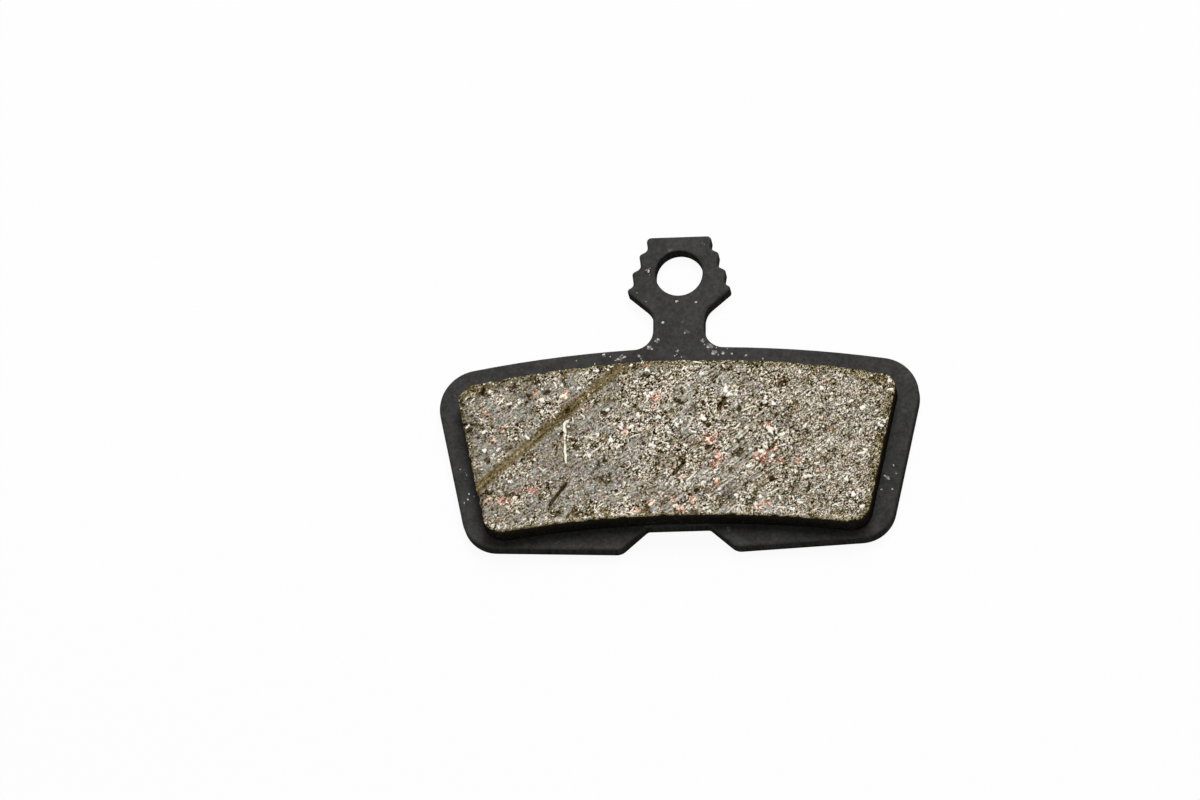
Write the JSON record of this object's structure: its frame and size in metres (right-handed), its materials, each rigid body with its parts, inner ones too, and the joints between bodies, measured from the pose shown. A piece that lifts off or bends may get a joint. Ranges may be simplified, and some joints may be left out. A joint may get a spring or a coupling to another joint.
{
  "type": "bicycle disc brake pad",
  "caption": "Disc brake pad: a moulded friction lining on a black stamped steel plate with arched top, tapered sides and a serrated tab with a pin hole.",
  "frame": {"origin": "centre of the pin hole on the back face of the backing plate", "axes": "+Z from the plate's back face towards the friction face, +Y from the body towards the tab, +X across the width; the pad lies on its back"},
  "size_m": [0.0434, 0.03, 0.004],
  "materials": {
    "plate_coat": "satin black coat on stamped steel",
    "lining": "ground resin composite with metal chips"
  },
  "bodies": {
    "root": {"backing_plate": "plate_coat", "friction_lining": "lining"}
  },
  "joints": []
}
